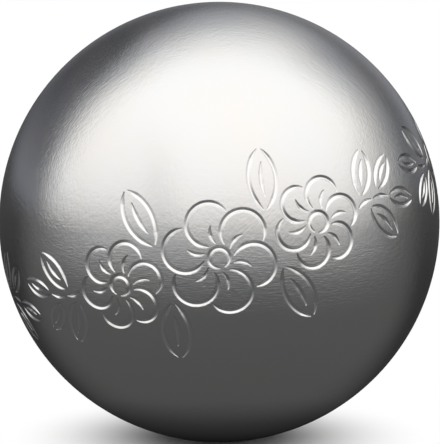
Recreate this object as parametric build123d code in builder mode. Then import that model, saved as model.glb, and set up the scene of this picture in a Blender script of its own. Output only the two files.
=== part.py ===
from build123d import *
from math import acos, atan2, cos, degrees, radians, sin, sqrt, tan
import os

# Petanque boule: a hollow steel ball of two welded half shells, engraved with a garland of flowers.
# The origin is the ball's centre, +Z is the axis it is turned on, and -Y is the side it shows.

# The ball
ball_diameter = 73.0
wall = 6.3

# The weld between the two half shells
root_gap = 1.0  # between the rims, at the inside
root_face = 1.5  # flat part of each rim, next to the inside
bevel_angle = 30.0  # of each rim, from the plane of the seam
root_bead = 0.4  # how far the weld stands into the hollow

# The engraving, which runs over shells and weld alike
groove_width = 0.8
groove_depth = 0.36
land = 0.4  # metal left between two grooves that pass closely
garland_tilt = 18.0  # of the garland's circle against the seam
sprays = 3  # round the ball, all alike

# The flowers of one spray
middle_reach = 9.0  # centre of the flower to the tips of its petals
side_reach = 7.2
side_angle = 26.9  # round the garland, from the middle flower
petals = 6
petal_swell = 1.25  # radius of a petal, against one that only meets its neighbours
stamen_length = 2.0
eye_radius = 1.6
eye_sweep = 300.0  # of the eye's circle

# The leaves and twigs of one spray
leaf_angle = 16.6  # round the garland, from the middle flower
leaf_length = 10.0
leaf_lean = 16.0  # from straight across the garland
leaf_start = 4.7  # from the garland's line
twig_angle = 46.8
twig_leaf = 7.6  # length of the leaves beside a twig
end_leaf = 6.0  # length of the leaves near its end
shoot_spacing = 1.85  # along a twig
leaf_belly = 0.22  # half the width of a leaf, as a share of its length
leaf_inset = 0.06  # where its edges start and end, as a share of its length
rib_start = 0.28
rib_end = 0.72

# A twig, from its foot to its tip: points on the stem, and each leaf's foot, length and heading.
# All points are counted in shoot spacings.
stem = [
    [(-2.3, -0.2), (-1.7, 0), (-1.1, 0)],
    [(-0.3, 0), (0.4, -0.1), (1.0, -0.3)],
]
shoots = [
    (-1.9, 0.7, twig_leaf, 60),
    (-1.1, -0.7, twig_leaf, -54),
    (0.3, 0.7, end_leaf, 40),
    (1.55, -0.55, end_leaf, -20),
]

ball_radius = ball_diameter / 2
bore_radius = ball_radius - wall
bead_radius = bore_radius - root_bead
spacing = groove_width + land

# Corners of a rim, in the plane of its section
bore_corner = sqrt(bore_radius**2 - (root_gap / 2) ** 2)
land_corner = bore_corner + root_face
slope = tan(radians(bevel_angle))
rise = root_gap / 2 - slope * land_corner
rim_corner = (sqrt(ball_radius**2 * (1 + slope**2) - rise**2) - rise * slope) / (1 + slope**2)
rim_height = rise + slope * rim_corner


def polar(reach, angle, start=(0, 0)):
    return (start[0] + reach * cos(radians(angle)), start[1] + reach * sin(radians(angle)))


def arc(radius, first, last, centre=(0, 0)):
    return [polar(radius, angle, centre) for angle in (first, (first + last) / 2, last)]


def flower(reach, first):
    """Petals about an eye, each laid over the next, with a stamen on each."""
    half_step = sin(radians(180 / petals))
    petal = reach * petal_swell * half_step / (1 + petal_swell * half_step)
    offset = reach - petal
    inside = eye_radius + spacing
    apart = 2 * offset * half_step
    covered = degrees(acos((petal**2 + apart**2 - (petal + spacing) ** 2) / (2 * petal * apart)))
    start = covered - 90 - 180 / petals
    end = degrees(acos((inside**2 - offset**2 - petal**2) / (2 * offset * petal)))
    lines = [arc(eye_radius, first - eye_sweep / 2, first + eye_sweep / 2)]
    for k in range(petals):
        out = first + k * 360 / petals
        stamen_middle = polar(inside + stamen_length / 2, out)
        lines.append(arc(petal, out + start, out + end, polar(offset, out)))
        lines.append(
            [
                polar(inside, out),
                polar(groove_width / 4, out + 90, stamen_middle),
                polar(inside + stamen_length, out),
            ]
        )
    return lines


def leaf(base, length, heading):
    """Two bowed edges, open at both ends, and a midrib between them."""
    edge = spacing / 2
    belly = leaf_belly * length
    rib_bow = groove_width / 4
    spots = [
        [(leaf_inset, edge), (0.5, belly), (1 - leaf_inset, edge)],
        [(leaf_inset, -edge), (0.5, -belly), (1 - leaf_inset, -edge)],
        [(rib_start, 0), ((rib_start + rib_end) / 2, rib_bow), (rib_end, 0)],
    ]

    def place(share, aside):
        return polar(aside, heading + 90, polar(share * length, heading, base))

    return [[place(*spot) for spot in line] for line in spots]


def leaf_pair(hand):
    """A leaf above the garland's line and one below it, between two flowers."""
    back = -hand * spacing
    upper = leaf((back, leaf_start), leaf_length, 90 - hand * leaf_lean)
    lower = leaf((back, -leaf_start), leaf_length, -90 + hand * leaf_lean)
    return upper + lower


def twig(hand):
    """A stem in two pieces with leaves beside it and at its end, turned about for the left hand."""
    lines = [[(shoot_spacing * x, shoot_spacing * y) for x, y in line] for line in stem]
    for x, y, length, heading in shoots:
        lines += leaf((shoot_spacing * x, shoot_spacing * y), length, heading)
    return [[(hand * x, hand * y) for x, y in line] for line in lines]


def groove(angle, line):
    """V-shaped groove along the arc through three points of a drawing that is held against the ball."""
    tilted = Location((0, 0, 0), (0, -garland_tilt, 0))
    against = tilted * Location((0, 0, 0), (0, 0, angle)) * Location((0, 0, 0), (90, 0, 0))
    spots = [Location((x, y, sqrt(ball_radius**2 - x**2 - y**2))) for x, y in line]
    start, middle, end = [(against * spot).position for spot in spots]
    turning = (middle - start).cross(end - middle).normalized()
    centre = turning * start.dot(turning)
    first_arm = start - centre
    last_arm = end - centre
    sweep = degrees(atan2(first_arm.cross(last_arm).dot(turning), first_arm.dot(last_arm))) % 360
    out = start.normalized()
    aside = (turning - out * turning.dot(out)).normalized()
    with BuildPart() as cut:
        with BuildSketch(Plane(origin=start, x_dir=aside, z_dir=aside.cross(out))):
            with BuildLine():
                Polyline(
                    (0, -groove_depth),
                    (groove_width, groove_depth),
                    (-groove_width, groove_depth),
                    close=True,
                )
            make_face()
        revolve(axis=Axis((0, 0, 0), turning), revolution_arc=sweep)
    return cut.part


drawings = [(0, flower(middle_reach, 90))]
for hand in (1, -1):
    drawings += [
        (hand * leaf_angle, leaf_pair(hand)),
        (hand * side_angle, flower(side_reach, 60)),
        (hand * twig_angle, twig(hand)),
    ]
garland = [
    groove(angle + k * 360 / sprays, line)
    for k in range(sprays)
    for angle, lines in drawings
    for line in lines
]


def engrave(low, high):
    """Cuts the grooves that come between two heights out of the part at hand."""
    near = [cut for cut in garland if cut.bounding_box().min.Z < high and cut.bounding_box().max.Z > low]
    add(near, mode=Mode.SUBTRACT, clean=False)


with BuildPart() as upper_half_shell:
    with BuildSketch(Plane.XZ):
        with BuildLine():
            Polyline((bore_corner, root_gap / 2), (land_corner, root_gap / 2), (rim_corner, rim_height))
            RadiusArc((rim_corner, rim_height), (0, ball_radius), -ball_radius)
            Line((0, ball_radius), (0, bore_radius))
            RadiusArc((0, bore_radius), (bore_corner, root_gap / 2), bore_radius)
        make_face()
    revolve(axis=Axis.Z)
    engrave(rim_height - groove_depth, ball_radius)
upper_half_shell.part.label = "upper_half_shell"

with BuildPart() as lower_half_shell:
    with BuildSketch(Plane.XZ):
        with BuildLine():
            Polyline((bore_corner, -root_gap / 2), (land_corner, -root_gap / 2), (rim_corner, -rim_height))
            RadiusArc((rim_corner, -rim_height), (0, -ball_radius), ball_radius)
            Line((0, -ball_radius), (0, -bore_radius))
            RadiusArc((0, -bore_radius), (bore_corner, -root_gap / 2), -bore_radius)
        make_face()
    revolve(axis=Axis.Z)
    engrave(-ball_radius, groove_depth - rim_height)
lower_half_shell.part.label = "lower_half_shell"

with BuildPart() as weld_seam:
    with BuildSketch(Plane.XZ):
        with BuildLine():
            Polyline((bore_corner, root_gap / 2), (land_corner, root_gap / 2), (rim_corner, rim_height))
            ThreePointArc((rim_corner, rim_height), (ball_radius, 0), (rim_corner, -rim_height))
            Polyline((rim_corner, -rim_height), (land_corner, -root_gap / 2), (bore_corner, -root_gap / 2))
            ThreePointArc((bore_corner, -root_gap / 2), (bead_radius, 0), (bore_corner, root_gap / 2))
        make_face()
    revolve(axis=Axis.Z)
    engrave(-rim_height, rim_height)
weld_seam.part.label = "weld_seam"

os.makedirs("parts", exist_ok=True)
export_step(upper_half_shell.part, "parts/upper_half_shell.step")
export_step(lower_half_shell.part, "parts/lower_half_shell.step")
export_step(weld_seam.part, "parts/weld_seam.step")
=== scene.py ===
import bpy
import bmesh
import math
import numpy as np
from mathutils import Matrix, Vector
from mathutils.geometry import delaunay_2d_cdt


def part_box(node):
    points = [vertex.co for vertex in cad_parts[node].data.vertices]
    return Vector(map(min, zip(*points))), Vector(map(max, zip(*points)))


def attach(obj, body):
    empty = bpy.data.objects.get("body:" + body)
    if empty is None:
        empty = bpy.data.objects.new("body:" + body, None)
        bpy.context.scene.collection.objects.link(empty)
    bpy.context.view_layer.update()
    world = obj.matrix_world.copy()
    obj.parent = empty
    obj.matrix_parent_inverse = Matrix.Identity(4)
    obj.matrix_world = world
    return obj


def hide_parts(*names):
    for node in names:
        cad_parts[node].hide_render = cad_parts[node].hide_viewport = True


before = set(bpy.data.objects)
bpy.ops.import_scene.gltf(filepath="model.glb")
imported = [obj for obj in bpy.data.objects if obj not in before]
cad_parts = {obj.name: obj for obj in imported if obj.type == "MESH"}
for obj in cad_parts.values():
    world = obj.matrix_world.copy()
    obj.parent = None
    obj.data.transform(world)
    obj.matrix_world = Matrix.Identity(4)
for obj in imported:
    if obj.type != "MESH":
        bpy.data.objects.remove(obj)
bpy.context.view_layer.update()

# A petanque boule of satin steel with an engraved garland, on a pale floor.
# The ball is drawn in millimetres and made in metres.

mm = 0.001
fullTurn = 2 * math.pi
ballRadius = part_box("upper_half_shell")[1][2] / mm
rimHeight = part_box("weld_seam")[1][2] / mm  # half the width of the weld, where it was ground flush
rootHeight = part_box("upper_half_shell")[0][2] / mm  # half the gap between the shells, at the inside

garland = {
    "tilt": 18.0,  # of its circle against the seam
    "sprays": 3,  # round the ball, all alike
    "spacing": 1.2,  # between the middles of two grooves that pass closely
    "bow": 0.2,  # of the short lines
}


def polar(reach, angle, start=(0, 0)):
    x, y = start
    return (x + reach * math.cos(math.radians(angle)), y + reach * math.sin(math.radians(angle)))


def arc(radius, first, last, centre=(0, 0)):
    return [polar(radius, angle, centre) for angle in (first, (first + last) / 2, last)]


def cornerAngle(near, other, facing):
    return math.degrees(math.acos((near**2 + other**2 - facing**2) / (2 * near * other)))


flowers = {
    "middleReach": 9.0,  # centre of the flower to the tips of its petals
    "middleHeading": 90,  # of its first petal
    "sideReach": 7.2,
    "sideHeading": 60,
    "sideAngle": 26.9,  # round the garland, from the middle flower
    "petals": 6,
    "petalSwell": 1.25,  # radius of a petal, against one that only meets its neighbours
    "stamenLength": 2.0,
    "eyeRadius": 1.6,
    "eyeSweep": 300.0,
}


# Each line is an arc through three points of a drawing that is held against the ball.
# A flower has an eye, petals that each lie over the next, and a stamen on each petal.
def flowerLines(reach, heading):
    count = flowers["petals"]
    share = flowers["petalSwell"] * math.sin(math.pi / count)
    petal = reach * share / (1 + share)
    offset = reach - petal
    apart = 2 * offset * math.sin(math.pi / count)
    inside = flowers["eyeRadius"] + garland["spacing"]
    tip = inside + flowers["stamenLength"]
    start = cornerAngle(petal, apart, petal + garland["spacing"]) - 90 - 180 / count
    end = 180 - cornerAngle(offset, petal, inside)
    halfEye = flowers["eyeSweep"] / 2
    lines = [arc(flowers["eyeRadius"], heading - halfEye, heading + halfEye)]
    for k in range(count):
        out = heading + k * 360 / count
        bowed = polar(garland["bow"], out + 90, polar((inside + tip) / 2, out))
        lines.append(arc(petal, out + start, out + end, polar(offset, out)))
        lines.append([polar(inside, out), bowed, polar(tip, out)])
    return lines


leaves = {
    "angle": 16.6,  # round the garland, from the middle flower
    "length": 10.0,
    "lean": 16.0,  # from straight across the garland
    "start": 4.7,  # from the garland's line
    "belly": 0.22,  # half the width of a leaf, as a share of its length
    "inset": 0.06,  # where its edges start and end, as a share of its length
    "ribStart": 0.28,
    "ribEnd": 0.72,
}


# Two bowed edges, open at both ends, and a midrib between them
def leafLines(base, length, heading):
    first = leaves["inset"]
    last = 1 - first
    edge = garland["spacing"] / 2
    belly = leaves["belly"] * length
    ribMiddle = (leaves["ribStart"] + leaves["ribEnd"]) / 2
    spots = [
        [(first, edge), (0.5, belly), (last, edge)],
        [(first, -edge), (0.5, -belly), (last, -edge)],
        [(leaves["ribStart"], 0), (ribMiddle, garland["bow"]), (leaves["ribEnd"], 0)],
    ]

    def fromBase(share, aside):
        return polar(aside, heading + 90, polar(share * length, heading, base))

    return [[fromBase(*spot) for spot in line] for line in spots]


# A leaf above the garland's line and one below it, between two flowers
def leafPairLines(hand):
    back = -hand * garland["spacing"]
    upper = leafLines((back, leaves["start"]), leaves["length"], 90 - hand * leaves["lean"])
    lower = leafLines((back, -leaves["start"]), leaves["length"], -90 + hand * leaves["lean"])
    return upper + lower


# Points of the stem and the feet of its leaves are counted in shoot spacings
twigs = {
    "angle": 46.8,  # round the garland, from the middle flower
    "shootSpacing": 1.85,
    "stem": [
        [(-2.3, -0.2), (-1.7, 0), (-1.1, 0)],
        [(-0.3, 0), (0.4, -0.1), (1.0, -0.3)],
    ],
    "shoots": [  # foot, length and heading
        (-1.9, 0.7, 7.6, 60),
        (-1.1, -0.7, 7.6, -54),
        (0.3, 0.7, 6.0, 40),
        (1.55, -0.55, 6.0, -20),
    ],
}


# A stem in two pieces with leaves beside it and at its end, turned about for the left hand
def twigLines(hand):
    step = twigs["shootSpacing"]
    lines = [[(step * x, step * y) for x, y in line] for line in twigs["stem"]]
    for x, y, length, heading in twigs["shoots"]:
        lines += leafLines((step * x, step * y), length, heading)
    return [[(hand * x, hand * y) for x, y in line] for line in lines]


def turn(axis, angle):
    return np.array(Matrix.Rotation(math.radians(angle), 3, axis))


# A line of the drawing as an arc on the ball, at an opening from the axis that it turns about
def makeStroke(angle, line):
    against = turn("Y", -garland["tilt"]) @ turn("Z", angle) @ turn("X", 90)
    local = np.array([(x, y, math.sqrt(ballRadius**2 - x * x - y * y)) for x, y in line])
    start, middle, end = local @ against.T / ballRadius
    axis = np.cross(middle - start, end - middle)
    axis /= np.linalg.norm(axis)
    centre = axis * (start @ axis)
    reach = np.linalg.norm(start - centre)
    first = (start - centre) / reach
    second = np.cross(axis, first)
    sweep = math.atan2((end - centre) @ second, (end - centre) @ first) % fullTurn
    return {
        "axis": axis,
        "first": first,
        "second": second,
        "opening": math.acos(start @ axis),
        "sweep": sweep,
        "length": sweep * ballRadius * reach,
    }


def makeStrokes():
    drawings = [(0, flowerLines(flowers["middleReach"], flowers["middleHeading"]))]
    for hand in (1, -1):
        drawings += [
            (hand * leaves["angle"], leafPairLines(hand)),
            (hand * flowers["sideAngle"], flowerLines(flowers["sideReach"], flowers["sideHeading"])),
            (hand * twigs["angle"], twigLines(hand)),
        ]
    sprayAngles = [k * 360 / garland["sprays"] for k in range(garland["sprays"])]
    return [
        makeStroke(angle + sprayAngle, line)
        for sprayAngle in sprayAngles
        for angle, lines in drawings
        for line in lines
    ]


strokes = makeStrokes()

groove = {
    "width": 0.8,
    "depth": 0.36,
    "hollow": 1.25,  # 1 is a plain V, and above it the edges are softer
    "runOut": 0.5,  # where the graver leaves the metal, past the end of a line
    "taper": 1.9,  # length over which a line grows to its full width
    "taperPower": 0.6,  # 1 is a straight point, and below it a fuller one
    "searchWidth": 2.0,  # to each side of a line, where it can matter
    "leastWidth": 1e-6,  # keeps a division away from zero
}


def grooveHalfWidth(fromEnd):
    share = np.clip((fromEnd + groove["runOut"]) / groove["taper"], 0, 1)
    return groove["width"] / 2 * share ** groove["taperPower"]


# Depth of the engraving, and the distance to the nearest groove's edge,
# at directions from the ball's centre
def engravingAt(directions):
    depth = np.zeros(len(directions))
    clearance = np.full(len(directions), ballRadius)
    for s in strokes:
        opening = np.arccos(np.clip(directions @ s["axis"], -1, 1))
        offLine = np.abs(opening - s["opening"]) * ballRadius
        near = np.nonzero(offLine < groove["searchWidth"])[0]
        aside = offLine[near]
        along = np.arctan2(directions[near] @ s["second"], directions[near] @ s["first"]) - s["sweep"] / 2
        along = np.abs((along + math.pi) % fullTurn - math.pi)
        fromEnd = s["length"] / 2 - along * s["length"] / s["sweep"]
        past = np.maximum(-fromEnd - groove["runOut"], 0)
        half = grooveHalfWidth(fromEnd)
        clearance[near] = np.minimum(clearance[near], np.hypot(aside, past) - half)
        share = np.clip(aside / np.maximum(half, groove["leastWidth"]), 0, 1)
        middleDepth = groove["depth"] * half / (groove["width"] / 2)
        depth[near] = np.maximum(depth[near], middleDepth * (1 - share) ** groove["hollow"])
    return depth, clearance


skinMesh = {
    "pointSpacing": 1.15,  # away from the engraving
    "clearance": 0.42,  # of those points from a groove's edge
    "step": 0.22,  # along a groove
    "rows": [  # along a groove: share of its half width, how far outside it, how far past its ends
        (0, 0, 0.2), (1, 0, 0), (-1, 0, 0), (0.5, 0, 0), (-0.5, 0, 0), (1, 0.13, 0.13), (-1, -0.13, 0.13),
    ],
    "fewestPoints": 4,  # in a row
    "mergeSize": 0.085,  # of cells that keep one point each
    "capLatitude": -40.0,  # below it, from the garland's circle, nothing is engraved
    "flatTolerance": 1e-9,  # of the points when spread flat
    "slopeReach": 0.04,  # to each side of a point where its slope is measured
    "nearPole": 0.9,  # height above which a sideways axis gives a point its directions
    "cutSnap": 0.02,  # points this near to the weld's edge are taken to be on it
}


def onBall(angle, height):
    flat = np.sqrt(1 - height * height)
    return np.stack([flat * np.cos(angle), flat * np.sin(angle), height], 1)


# Evenly spread points, along a spiral that turns by the golden ratio
def spherePoints(count):
    k = np.arange(count) + 0.5
    goldenTurn = math.pi * (1 + math.sqrt(5))
    return onBall(goldenTurn * k, 1 - 2 * k / count)


# Rows of points along each groove: its bottom, its walls, its edges and just outside them
def groovePoints():
    rows = []
    for share, outside, past in skinMesh["rows"]:
        reach = groove["runOut"] + past
        for s in strokes:
            count = max(skinMesh["fewestPoints"], round((s["length"] + 2 * reach) / skinMesh["step"]))
            on = np.linspace(-reach, s["length"] + reach, count)
            half = grooveHalfWidth(np.minimum(on, s["length"] - on))
            opening = s["opening"] + (share * half + outside) / ballRadius
            angle = on * s["sweep"] / s["length"]
            flat = np.outer(np.cos(angle), s["first"]) + np.outer(np.sin(angle), s["second"])
            rows.append(np.cos(opening)[:, None] * s["axis"] + np.sin(opening)[:, None] * flat)
    points = np.concatenate(rows)
    cell = skinMesh["mergeSize"] / ballRadius
    kept = np.unique(np.round(points / cell).astype(np.int64), axis=0, return_index=True)[1]
    return points[np.sort(kept)]


# Triangles between points that are spread flat, away from the upper or the lower pole
def triangles(points, side):
    flat = points[:, :2] / (1 + side * points[:, 2:3])
    found = delaunay_2d_cdt([Vector(p) for p in flat], [], [], 0, skinMesh["flatTolerance"])
    origin = [o[0] for o in found[3]]
    return [[origin[i] for i in face] for face in found[2]]


# The ball's skin as one closed mesh of directions, with its points close together along the grooves
def makeSkin():
    toBall = turn("Y", -garland["tilt"])
    spacing = skinMesh["pointSpacing"]
    capHeight = math.sin(math.radians(skinMesh["capLatitude"]))
    loose = spherePoints(round(4 * math.pi * (ballRadius / spacing) ** 2))
    loose = loose[np.abs(loose[:, 2] - capHeight) > spacing / 2 / ballRadius]
    loose = loose[engravingAt(loose @ toBall.T)[1] > skinMesh["clearance"]]
    count = round(fullTurn * ballRadius * math.sqrt(1 - capHeight**2) / spacing)
    edge = onBall(np.arange(count) * fullTurn / count, np.full(count, capHeight))
    above = np.concatenate([edge, groovePoints() @ toBall, loose[loose[:, 2] > capHeight]])
    below = np.concatenate([edge, loose[loose[:, 2] < capHeight]])
    faces = triangles(above, 1)
    shift = len(above) - count
    for face in triangles(below, -1):
        faces.append([i if i < count else i + shift for i in face])
    points = np.concatenate([above, below[count:]]) @ toBall.T
    return points, faces


skinPoints, skinFaces = makeSkin()
print("skin:", len(skinPoints), "points,", len(skinFaces), "faces,", len(strokes), "engraved lines")


# Which way the engraved skin faces
def slopesAt(directions):
    upright = np.abs(directions[:, 2:3]) < skinMesh["nearPole"]
    helper = np.where(upright, [[0.0, 0.0, 1.0]], [[1.0, 0.0, 0.0]])
    right = np.cross(helper, directions)
    right /= np.linalg.norm(right, axis=1)[:, None]
    up = np.cross(directions, right)
    reach = skinMesh["slopeReach"]
    normals = directions.copy()
    for way in (right, up):
        ahead = engravingAt(directions + way * reach / ballRadius)[0]
        behind = engravingAt(directions - way * reach / ballRadius)[0]
        normals += way * ((ahead - behind) / (2 * reach))[:, None]
    return normals / np.linalg.norm(normals, axis=1)[:, None]


# The skin with its grooves, and its faces in three groups that meet at the weld's edges
def cutSkin():
    bm = bmesh.new()
    verts = [bm.verts.new(p) for p in skinPoints * ballRadius]
    for face in skinFaces:
        bm.faces.new([verts[i] for i in face])
    for level in (rimHeight, -rimHeight):
        bmesh.ops.bisect_plane(
            bm,
            geom=bm.verts[:] + bm.edges[:] + bm.faces[:],
            dist=skinMesh["cutSnap"],
            plane_co=(0, 0, level),
            plane_no=(0, 0, 1),
        )
    bm.verts.index_update()
    points = np.array([v.co for v in bm.verts])
    faces = [[v.index for v in f.verts] for f in bm.faces]
    heights = [sum(v.co.z for v in f.verts) / len(f.verts) for f in bm.faces]
    bm.free()
    directions = points / np.linalg.norm(points, axis=1)[:, None]
    depth = engravingAt(directions)[0]
    skin = {
        "points": directions * (ballRadius - depth)[:, None],
        "normals": slopesAt(directions),
        "depth": depth / groove["depth"],
    }
    groups = {
        "upper": [f for f, h in zip(faces, heights) if h > rimHeight],
        "lower": [f for f, h in zip(faces, heights) if h < -rimHeight],
        "weld": [f for f, h in zip(faces, heights) if abs(h) <= rimHeight],
    }
    return skin, groups


skin, skinGroups = cutSkin()
print("skin cut at the weld:", {name: len(faces) for name, faces in skinGroups.items()})

skinFinish = 0  # places of the two finishes on a piece
rawFinish = 1


def around(vert):
    return math.atan2(vert.co.y, vert.co.x)


def rimOf(bm, upper):
    rim = {v for e in bm.edges if len(e.link_faces) == 1 for v in e.verts if (v.co.z > 0) == upper}
    return sorted(rim, key=around)


def addFace(bm, verts):
    bm.faces.new(verts).material_index = rawFinish


# Turns a section, a list of radius and height, inwards from a rim
def lathe(bm, rim, section):
    for radius, height in section:
        angles = [around(v) for v in rim]
        inner = [bm.verts.new((radius * math.cos(a), radius * math.sin(a), height)) for a in angles]
        for k in range(len(rim)):
            addFace(bm, [rim[k - 1], rim[k], inner[k], inner[k - 1]])
        rim = inner
    return rim


def closePole(bm, rim, height):
    pole = bm.verts.new((0, 0, height))
    for k in range(len(rim)):
        addFace(bm, [rim[k - 1], rim[k], pole])


# Joins two rings of points that stand at different angles
def zipRings(bm, one, other):
    oneAngles = [around(v) for v in one] + [around(one[0]) + fullTurn]
    otherAngles = [around(v) for v in other] + [around(other[0]) + fullTurn]
    one = one + one[:1]
    other = other + other[:1]
    i = 0
    j = 0
    while i + 1 < len(one) or j + 1 < len(other):
        otherDone = j + 1 == len(other)
        if otherDone or (i + 1 < len(one) and oneAngles[i + 1] < otherAngles[j + 1]):
            addFace(bm, [one[i], one[i + 1], other[j]])
            i += 1
        else:
            addFace(bm, [one[i], other[j + 1], other[j]])
            j += 1


shells = {
    "wall": 6.3,
    "rootFace": 1.5,  # flat part of each rim, next to the inside
    "innerRings": 14,  # of the mesh, from rim to pole
}

boreRadius = ballRadius - shells["wall"]
boreCorner = math.sqrt(boreRadius**2 - rootHeight**2)
landCorner = boreCorner + shells["rootFace"]


def addShellInside(bm, side):
    low = math.asin(rootHeight / boreRadius)
    rings = shells["innerRings"]
    rises = [low + (math.pi / 2 - low) * k / rings for k in range(1, rings)]
    section = [(landCorner, side * rootHeight), (boreCorner, side * rootHeight)]
    section += [(boreRadius * math.cos(a), side * boreRadius * math.sin(a)) for a in rises]
    closePole(bm, lathe(bm, rimOf(bm, side > 0), section), side * boreRadius)


weld = {
    "rootBead": 0.4,  # how far it stands into the hollow
    "beadShoulder": 0.75,  # share of that, halfway to the bead's edges
}


def addWeldInside(bm):
    shoulderRadius = boreRadius - weld["beadShoulder"] * weld["rootBead"]
    section = [
        (landCorner, rootHeight),
        (boreCorner, rootHeight),
        (shoulderRadius, rootHeight / 2),
        (boreRadius - weld["rootBead"], 0),
        (shoulderRadius, -rootHeight / 2),
        (boreCorner, -rootHeight),
        (landCorner, -rootHeight),
    ]
    lowerRim = rimOf(bm, False)
    zipRings(bm, lathe(bm, rimOf(bm, True), section), lowerRim)


def addInside(bm, group):
    if group == "weld":
        addWeldInside(bm)
    else:
        addShellInside(bm, 1 if group == "upper" else -1)


def makePiece(name, group, node, materials):
    faces = skinGroups[group]
    used = sorted({i for f in faces for i in f})
    newIndex = {i: k for k, i in enumerate(used)}
    bm = bmesh.new()
    verts = [bm.verts.new(skin["points"][i]) for i in used]
    for face in faces:
        bm.faces.new([verts[newIndex[i]] for i in face])
    addInside(bm, group)
    bmesh.ops.recalc_face_normals(bm, faces=bm.faces)
    bmesh.ops.scale(bm, vec=(mm, mm, mm), verts=bm.verts)
    mesh = bpy.data.meshes.new(name)
    bm.to_mesh(mesh)
    bm.free()
    for material in materials:
        mesh.materials.append(material)
    outer = skin["normals"][used]
    normals = np.zeros((len(mesh.loops), 3))
    for polygon in mesh.polygons:
        polygon.use_smooth = True
        if polygon.material_index == skinFinish:
            corners = slice(polygon.loop_start, polygon.loop_start + polygon.loop_total)
            normals[corners] = outer[list(polygon.vertices)]
    mesh.normals_split_custom_set(normals.tolist())  # zeros leave a corner as it is
    cut = mesh.attributes.new("engraved", "FLOAT", "POINT")
    depth = np.zeros(len(mesh.vertices))
    depth[:len(used)] = skin["depth"][used]
    cut.data.foreach_set("value", depth)
    piece = bpy.data.objects.new(name, mesh)
    bpy.context.scene.collection.objects.link(piece)
    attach(piece, "root")
    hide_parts(node)
    return piece


# Adds a node with its settings and inputs, where an input is a value or another node's output
def put(tree, kind, inputs, **settings):
    node = tree.nodes.new(kind)
    for name, value in settings.items():
        setattr(node, name, value)
    for name, value in inputs.items():
        if isinstance(value, bpy.types.NodeSocket):
            tree.links.new(value, node.inputs[name])
        else:
            node.inputs[name].default_value = value
    return node


def calculate(tree, operation, a, b=0.0):
    return put(tree, "ShaderNodeMath", {0: a, 1: b}, operation=operation).outputs[0]


# Turns what lies between two ends into what lies between two others
def rescale(tree, value, ends, newEnds=(0.0, 1.0), kind="LINEAR"):
    inputs = {"Value": value}
    inputs.update(zip(("From Min", "From Max"), ends))
    inputs.update(zip(("To Min", "To Max"), newEnds))
    return put(tree, "ShaderNodeMapRange", inputs, interpolation_type=kind).outputs["Result"]


def objectPlace(tree):
    return put(tree, "ShaderNodeTexCoord", {}).outputs["Object"]


def partsOf(tree, vector):
    return put(tree, "ShaderNodeSeparateXYZ", {0: vector}).outputs


# A place with each of its parts counted in a size of its own
def countedIn(tree, parts, sizes):
    counts = [calculate(tree, "DIVIDE", part, size) for part, size in zip(parts, sizes)]
    return put(tree, "ShaderNodeCombineXYZ", dict(enumerate(counts))).outputs["Vector"]


def noise(tree, place, scale, detail, roughness=0.5):
    inputs = {"Vector": place, "Scale": scale, "Detail": detail, "Roughness": roughness}
    return put(tree, "ShaderNodeTexNoise", inputs).outputs["Fac"]


def mixColour(tree, share, one, other):
    return put(tree, "ShaderNodeMix", {0: share, 6: one, 7: other}, data_type="RGBA").outputs[2]


def newGroup(name, inputs, outputs):
    group = bpy.data.node_groups.new(name, "ShaderNodeTree")
    for label in inputs:
        group.interface.new_socket(label, in_out="INPUT", socket_type="NodeSocketFloat")
    for label in outputs:
        group.interface.new_socket(label, in_out="OUTPUT", socket_type="NodeSocketFloat")
    return group, group.nodes.new("NodeGroupInput").outputs, group.nodes.new("NodeGroupOutput").inputs


def placeGroup(tree, group, values):
    return put(tree, "ShaderNodeGroup", values, node_tree=group).outputs


# Fine lines round the axis that the ball is turned on: noise drawn out along them
def turnedLinesGroup():
    group, given, result = newGroup("turned lines", ("Spacing", "Length", "Depth"), ("Height", "Tone"))
    place = objectPlace(group)
    parts = partsOf(group, place)
    radius = put(group, "ShaderNodeVectorMath", {0: place}, operation="LENGTH").outputs["Value"]
    fromPole = calculate(group, "ARCCOSINE", calculate(group, "DIVIDE", parts["Z"], radius))
    down = calculate(group, "MULTIPLY", fromPole, radius)
    sizes = (given["Length"], given["Length"], given["Spacing"])
    drawn = countedIn(group, (parts["X"], parts["Y"], down), sizes)
    lines = noise(group, drawn, scale=1.0, detail=3.0, roughness=0.6)
    group.links.new(lines, result["Tone"])
    group.links.new(calculate(group, "MULTIPLY", lines, given["Depth"]), result["Height"])
    return group


markInputs = ("Slant", "Lean", "Spacing", "Length", "Patch", "Depth")
patchEnds = (0.35, 0.60)  # of the noise, between which a patch begins


# Short marks along one slanting line, in loose patches
def handMarksGroup():
    group, given, result = newGroup("hand marks", markInputs, ("Height",))
    slope = put(group, "ShaderNodeCombineXYZ", {"X": given["Lean"], "Y": given["Slant"]}).outputs["Vector"]
    inputs = {"Vector": objectPlace(group), "Rotation": slope}
    slanted = put(group, "ShaderNodeVectorRotate", inputs, rotation_type="EULER_XYZ").outputs["Vector"]
    sizes = (given["Spacing"], given["Spacing"], given["Length"])
    marks = noise(group, countedIn(group, partsOf(group, slanted), sizes), scale=1.0, detail=2.0)
    patches = noise(group, slanted, calculate(group, "DIVIDE", 1.0, given["Patch"]), detail=1.0)
    strength = calculate(group, "MULTIPLY", rescale(group, patches, patchEnds), given["Depth"])
    group.links.new(calculate(group, "MULTIPLY", marks, strength), result["Height"])
    return group


turnedLines = turnedLinesGroup()
handMarks = handMarksGroup()


def newMaterial(name):
    material = bpy.data.materials.new(name)
    material.use_nodes = True
    return material, material.node_tree, material.node_tree.nodes["Principled BSDF"]


noiseEnds = (0.35, 0.65)  # between which most of a noise lies

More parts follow.
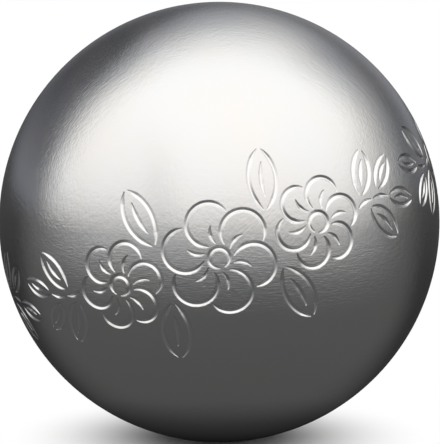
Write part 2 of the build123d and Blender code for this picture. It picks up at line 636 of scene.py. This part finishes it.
steel = {
    "coolColour": (0.692, 0.70, 0.708, 1),
    "warmColour": (0.708, 0.70, 0.69, 1),
    "cloudSize": 13 * mm,  # of the two colours
    "cutColour": (0.80, 0.80, 0.80, 1),  # in the engraving
    "cutEnds": (0.02, 0.20),  # share of the engraving's depth, from bare skin to cut metal
    "cutRoughness": 0.18,
    "roughness": (0.19, 0.27),
    "toneEnds": (0.7, 1.3),  # of clouds and lines together, for the roughness
    "grainSize": 1.1 * mm,
    "grainDepth": 0.022 * mm,
    "brush": {"Spacing": 0.28 * mm, "Length": 1.5 * mm, "Depth": 0.0055 * mm},
    "bandHeight": -4.5 * mm,  # middle of the band where the weld was ground
    "bandEnds": (4.2 * mm, 6.8 * mm),  # from that middle, between which it ends
    "bandGain": 8.5,  # how much deeper the lines are in it
    "marks": [  # slant, lean, spacing, length, patch and depth
        (0.1, 0.1, 0.32 * mm, 2.0 * mm, 8 * mm, 0.022 * mm),
        (0.9, -0.1, 0.34 * mm, 1.7 * mm, 9 * mm, 0.017 * mm),
        (1.5, 0.3, 0.40 * mm, 2.2 * mm, 7 * mm, 0.015 * mm),
        (-0.8, 0.2, 0.34 * mm, 1.7 * mm, 10 * mm, 0.019 * mm),
    ],
}


def steelHeight(tree, place, brush):
    grain = noise(tree, place, 1 / steel["grainSize"], detail=3.0)
    height = calculate(tree, "MULTIPLY", grain, steel["grainDepth"])
    offBand = calculate(tree, "SUBTRACT", partsOf(tree, place)["Z"], steel["bandHeight"])
    offBand = calculate(tree, "ABSOLUTE", offBand)
    gain = rescale(tree, offBand, steel["bandEnds"], (steel["bandGain"], 1.0))
    height = calculate(tree, "ADD", height, calculate(tree, "MULTIPLY", brush["Height"], gain))
    for values in steel["marks"]:
        marks = placeGroup(tree, handMarks, dict(zip(markInputs, values)))
        height = calculate(tree, "ADD", height, marks["Height"])
    return height


# The outside of the ball, brushed and then engraved
def satinSteel():
    material, tree, surface = newMaterial("satin steel")
    place = objectPlace(tree)
    brush = placeGroup(tree, turnedLines, steel["brush"])
    clouds = noise(tree, place, 1 / steel["cloudSize"], detail=4.0)
    depth = put(tree, "ShaderNodeAttribute", {}, attribute_name="engraved").outputs["Fac"]
    inGroove = rescale(tree, depth, steel["cutEnds"])
    metal = mixColour(tree, rescale(tree, clouds, noiseEnds), steel["coolColour"], steel["warmColour"])
    colour = mixColour(tree, inGroove, metal, steel["cutColour"])
    tone = calculate(tree, "ADD", clouds, brush["Tone"])
    satin = rescale(tree, tone, steel["toneEnds"], steel["roughness"])
    gloss = put(tree, "ShaderNodeMix", {0: inGroove, 2: satin, 3: steel["cutRoughness"]}).outputs[0]
    bare = calculate(tree, "SUBTRACT", 1.0, inGroove)
    height = calculate(tree, "MULTIPLY", steelHeight(tree, place, brush), bare)
    bump = put(tree, "ShaderNodeBump", {"Height": height, "Distance": 1.0})
    tree.links.new(colour, surface.inputs["Base Color"])
    tree.links.new(gloss, surface.inputs["Roughness"])
    tree.links.new(bump.outputs["Normal"], surface.inputs["Normal"])
    surface.inputs["Metallic"].default_value = 1.0
    return material


raw = {
    "darkColour": (0.10, 0.095, 0.10, 1),
    "paleColour": (0.24, 0.22, 0.20, 1),
    "patchSize": 6 * mm,  # of the two colours
    "metallic": 0.8,
    "roughness": (0.5, 0.75),
    "toneEnds": (0.3, 0.7),  # of the lines, for the roughness
    "lines": {"Spacing": 1.1 * mm, "Length": 20 * mm, "Depth": 0.03 * mm},
}


# The inside of the shells, turned and then left with its dark skin
def rawSteel():
    material, tree, surface = newMaterial("raw steel")
    lines = placeGroup(tree, turnedLines, raw["lines"])
    patches = noise(tree, objectPlace(tree), 1 / raw["patchSize"], detail=6.0)
    patches = rescale(tree, patches, noiseEnds)
    colour = mixColour(tree, patches, raw["darkColour"], raw["paleColour"])
    roughness = rescale(tree, lines["Tone"], raw["toneEnds"], raw["roughness"])
    bump = put(tree, "ShaderNodeBump", {"Height": lines["Height"], "Distance": 1.0})
    tree.links.new(colour, surface.inputs["Base Color"])
    tree.links.new(roughness, surface.inputs["Roughness"])
    tree.links.new(bump.outputs["Normal"], surface.inputs["Normal"])
    surface.inputs["Metallic"].default_value = raw["metallic"]
    return material


finishes = [satinSteel(), rawSteel()]  # in the order of skinFinish and rawFinish
for name, group, node, slot in (
    ("upperShell", "upper", "upper_half_shell", "shell_steel"),
    ("lowerShell", "lower", "lower_half_shell", "shell_steel"),
    ("weldSeam", "weld", "weld_seam", "weld_steel"),
):
    piece = makePiece(name, group, node, finishes)
    print(name, len(piece.data.vertices), "points")


# Colour read off a list of places and colours
def tints(tree, value, points):
    low = points[0][0]
    high = points[-1][0]
    ramp = put(tree, "ShaderNodeValToRGB", {"Fac": rescale(tree, value, (low, high))})
    stops = ramp.color_ramp.elements
    for at, colour in points[1:-1]:
        stops.new((at - low) / (high - low)).color = colour
    stops[0].color = points[0][1]
    stops[len(points) - 1].color = points[-1][1]
    return ramp.outputs["Color"]


# The same for one number
def curve(tree, value, points):
    return tints(tree, value, [(at, (level, level, level, 1)) for at, level in points])


# Heights and places across run from -1 to 1, as parts of a direction from the ball.
# Depth is how far behind the ball a direction points, stretched by the spread.
lightTent = {
    "strength": 1.5,
    "colour": [  # by depth
        (-0.30, (0.943, 0.928, 0.910, 1)),
        (0.45, (0.938, 0.930, 0.912, 1)),
        (0.65, (0.927, 0.930, 0.932, 1)),
        (0.85, (0.903, 0.920, 0.971, 1)),
        (1.40, (0.878, 0.897, 1.0, 1)),
    ],
    "rise": [  # brightness by height
        (-0.30, 0.20), (-0.06, 0.34), (0.0, 0.38), (0.05, 0.45), (0.10, 0.54), (0.17, 0.67), (0.21, 0.73),
        (0.30, 0.82), (0.42, 0.89), (0.60, 0.945), (0.77, 0.98), (0.90, 1.0), (1.0, 1.0),
    ],
    "dip": 0.02,  # how much lower it comes at both sides than in the middle
    "fade": [  # share of it by depth
        (0.15, 1.0), (0.24, 0.955), (0.40, 0.81), (0.57, 0.61), (0.735, 0.395), (0.81, 0.315), (0.91, 0.23),
        (0.95, 0.18), (0.985, 0.11), (1.05, 0.05), (1.2, 0.0),
    ],
    "spread": [  # from left to right
        (-1.0, 2.70), (-0.5, 1.77), (-0.3, 1.41), (-0.2, 1.24), (-0.1, 1.09), (0.0, 1.0), (0.1, 0.995),
        (0.2, 1.04), (0.3, 1.11), (0.5, 1.27), (1.0, 1.70),
    ],
    "topLess": [  # taken off the spread high up, from left to right
        (-0.42, 0.0), (-0.31, 0.09), (-0.20, 0.02), (0.0, 0.0), (0.12, 0.05), (0.24, 0.14), (0.33, 0.15),
        (0.45, 0.0),
    ],
    "topEnds": (0.35, 0.60),  # heights between which that begins
    "gap": [  # share of it from left to right, where two lamps meet
        (-0.95, 1.0), (-0.80, 0.98), (-0.62, 0.95), (-0.50, 0.79), (-0.40, 0.94), (-0.33, 1.0),
    ],
    "gapEnds": (0.86, 0.42),  # heights between which the gap opens
    "screenWay": (0.957, 0.282, 0.05),  # direction of a screen that takes some of it
    "screenShade": [  # share that it leaves, from beside it to straight at it
        (0.80, 1.0), (0.85, 0.93), (0.88, 0.86), (0.915, 0.755), (0.95, 0.70), (1.0, 0.58),
    ],
    "wallGlow": [  # least brightness, by height
        (-0.10, 0.16), (0.06, 0.225), (0.12, 0.205), (0.28, 0.122), (0.50, 0.126),
    ],
    "wallAcross": [  # share of that from left to right
        (-0.85, 0.73), (-0.68, 0.70), (-0.35, 0.345), (-0.18, 0.47), (0.25, 0.97), (0.45, 0.82),
        (0.62, 0.65), (0.82, 0.38),
    ],
}


def lightDepth(tree, parts):
    high = rescale(tree, parts["Z"], lightTent["topEnds"])
    less = calculate(tree, "MULTIPLY", curve(tree, parts["X"], lightTent["topLess"]), high)
    spread = calculate(tree, "SUBTRACT", curve(tree, parts["X"], lightTent["spread"]), less)
    return calculate(tree, "MULTIPLY", parts["Y"], spread)


def lampLevel(tree, towards, parts, depth):
    dip = calculate(tree, "MULTIPLY", calculate(tree, "ABSOLUTE", parts["X"]), lightTent["dip"])
    level = curve(tree, calculate(tree, "ADD", parts["Z"], dip), lightTent["rise"])
    gap = calculate(tree, "SUBTRACT", 1.0, curve(tree, parts["X"], lightTent["gap"]))
    gap = calculate(tree, "MULTIPLY", gap, rescale(tree, parts["Z"], lightTent["gapEnds"]))
    level = calculate(tree, "MULTIPLY", level, calculate(tree, "SUBTRACT", 1.0, gap))
    ways = {0: towards, 1: lightTent["screenWay"]}
    facing = put(tree, "ShaderNodeVectorMath", ways, operation="DOT_PRODUCT").outputs["Value"]
    level = calculate(tree, "MULTIPLY", level, curve(tree, facing, lightTent["screenShade"]))
    return calculate(tree, "MULTIPLY", level, curve(tree, depth, lightTent["fade"]))


def wallLevel(tree, parts):
    glow = curve(tree, parts["Z"], lightTent["wallGlow"])
    return calculate(tree, "MULTIPLY", glow, curve(tree, parts["X"], lightTent["wallAcross"]))


def softLight():
    world = bpy.data.worlds.new("light tent")
    bpy.context.scene.world = world
    world.use_nodes = True
    tree = world.node_tree
    towards = put(tree, "ShaderNodeTexCoord", {}).outputs["Generated"]
    parts = partsOf(tree, towards)
    depth = lightDepth(tree, parts)
    level = calculate(tree, "MAXIMUM", lampLevel(tree, towards, parts, depth), wallLevel(tree, parts))
    strength = calculate(tree, "MULTIPLY", level, lightTent["strength"])
    light = tree.nodes["Background"].inputs
    tree.links.new(tints(tree, depth, lightTent["colour"]), light["Color"])
    tree.links.new(strength, light["Strength"])


# Distance on the floor from the foot of the ball, and how much of it is behind the ball
def fromFoot(tree):
    spot = put(tree, "ShaderNodeNewGeometry", {}).outputs["Position"]
    levelled = {0: spot, 1: (1, 1, 0)}
    level = put(tree, "ShaderNodeVectorMath", levelled, operation="MULTIPLY").outputs["Vector"]
    distance = put(tree, "ShaderNodeVectorMath", {0: level}, operation="LENGTH").outputs["Value"]
    return distance, partsOf(tree, spot)["Y"]


floor = {
    "radius": 6.0,
    "segments": 96,
    "colour": (0.9, 0.9, 0.9, 1),
    "shadowEnds": (8 * mm, 36 * mm),  # from the foot of the ball, between which its shadow ends
}


def groundSheet(name, height):
    bm = bmesh.new()
    bmesh.ops.create_circle(bm, cap_ends=True, segments=floor["segments"], radius=floor["radius"])
    mesh = bpy.data.meshes.new(name)
    bm.to_mesh(mesh)
    bm.free()
    material, tree, surface = newMaterial(name)
    mesh.materials.append(material)
    sheet = bpy.data.objects.new(name, mesh)
    sheet.location.z = height
    bpy.context.scene.collection.objects.link(sheet)
    return sheet, tree, surface


# White to the eye, apart from the ball's shadow near its foot
def makeFloor():
    tree, surface = groundSheet("floor", -ballRadius * mm)[1:]
    surface.inputs["Base Color"].default_value = floor["colour"]
    surface.inputs["Roughness"].default_value = 1.0
    surface.inputs["Specular IOR Level"].default_value = 0.0
    ray = put(tree, "ShaderNodeLightPath", {}).outputs
    seen = calculate(tree, "MAXIMUM", ray["Is Camera Ray"], ray["Is Glossy Ray"])
    seen = calculate(tree, "MAXIMUM", seen, ray["Is Transmission Ray"])
    clear = rescale(tree, fromFoot(tree)[0], floor["shadowEnds"], kind="SMOOTHSTEP")
    share = calculate(tree, "MULTIPLY", seen, clear)
    white = put(tree, "ShaderNodeEmission", {"Strength": 1.0}).outputs["Emission"]
    mix = put(tree, "ShaderNodeMixShader", {0: share, 1: surface.outputs["BSDF"], 2: white})
    tree.links.new(mix.outputs["Shader"], tree.nodes["Material Output"].inputs["Surface"])


# Painted reflection: a dark floor that glows at set levels, with the ball's shadow painted into it near its
# foot and behind it
paintedShade = {
    "lift": 0.05 * mm,  # off the floor
    "near": [  # painted brightness by distance from the foot of the ball, dark near it as a painted shadow
        (0.0, 0.0), (7 * mm, 0.01), (17 * mm, 0.045), (25 * mm, 0.10), (55 * mm, 0.11), (90 * mm, 0.098),
        (130 * mm, 0.088), (220 * mm, 0.072),
    ],
    "behindEnds": (-34 * mm, 2 * mm),  # between which that dims behind the ball, as a painted shadow cast backwards
    "behindShare": 0.28,  # what is left of it there
    "behindBow": 0.5,  # how far those ends bow round the ball
    "far": [  # painted brightness added to it
        (60 * mm, 0.0), (80 * mm, 0.015), (100 * mm, 0.04), (130 * mm, 0.11), (165 * mm, 0.18),
        (190 * mm, 0.21), (400 * mm, 0.34), (1.0, 0.40),
    ],
    "sideEnds": (-0.6, 0.4),  # sine of the angle behind the ball's middle, between which that dims as painted shade
    "sideShare": 0.10,
}


# A glowing sheet that paints a dark floor into the steel's reflections, with a painted shadow near the
# ball's foot and behind it. It gives the steel its dark lower half, and is seen by nothing else
def makePaintedShade():
    sheet, tree = groundSheet("paintedShadeSheet", -ballRadius * mm + paintedShade["lift"])[:2]
    distance, behind = fromFoot(tree)
    past = calculate(tree, "SUBTRACT", behind, calculate(tree, "MULTIPLY", distance, paintedShade["behindBow"]))
    dim = rescale(tree, past, paintedShade["behindEnds"], (1.0, paintedShade["behindShare"]), "SMOOTHSTEP")
    near = calculate(tree, "MULTIPLY", curve(tree, distance, paintedShade["near"]), dim)
    sine = calculate(tree, "DIVIDE", behind, distance)
    dim = rescale(tree, sine, paintedShade["sideEnds"], (1.0, paintedShade["sideShare"]), "SMOOTHSTEP")
    far = calculate(tree, "MULTIPLY", curve(tree, distance, paintedShade["far"]), dim)
    glow = put(tree, "ShaderNodeEmission", {"Strength": calculate(tree, "ADD", near, far)})
    tree.links.new(glow.outputs["Emission"], tree.nodes["Material Output"].inputs["Surface"])
    sheet.visible_camera = False
    sheet.visible_diffuse = False
    sheet.visible_shadow = False


softLight()
makeFloor()
makePaintedShade()
print("light and floor set")

picture = {
    "elevation": 9.0,
    "distance": 0.70,
    "width": 440,
    "ballRadius": 220.3,  # in the picture, in pixels
    "aside": 0.7,  # the ball's middle is this far left of the picture's
}


def makeCamera():
    data = bpy.data.cameras.new("camera")
    camera = bpy.data.objects.new("camera", data)
    bpy.context.scene.collection.objects.link(camera)
    bpy.context.scene.camera = camera
    up = math.radians(picture["elevation"])
    back = Vector((0, -math.cos(up), math.sin(up)))
    camera.location = back * picture["distance"]
    camera.rotation_mode = "QUATERNION"
    camera.rotation_quaternion = (-back).to_track_quat("-Z", "Y")
    radius = ballRadius * mm
    spread = radius / math.sqrt(picture["distance"] ** 2 - radius**2)
    data.sensor_fit = "HORIZONTAL"
    data.lens = data.sensor_width * picture["ballRadius"] / picture["width"] / spread
    aside = Vector((picture["aside"] * radius / picture["ballRadius"], 0, 0))
    camera.location += camera.rotation_quaternion @ aside


makeCamera()
bpy.context.scene.view_settings.view_transform = "Standard"

print("scene ready")
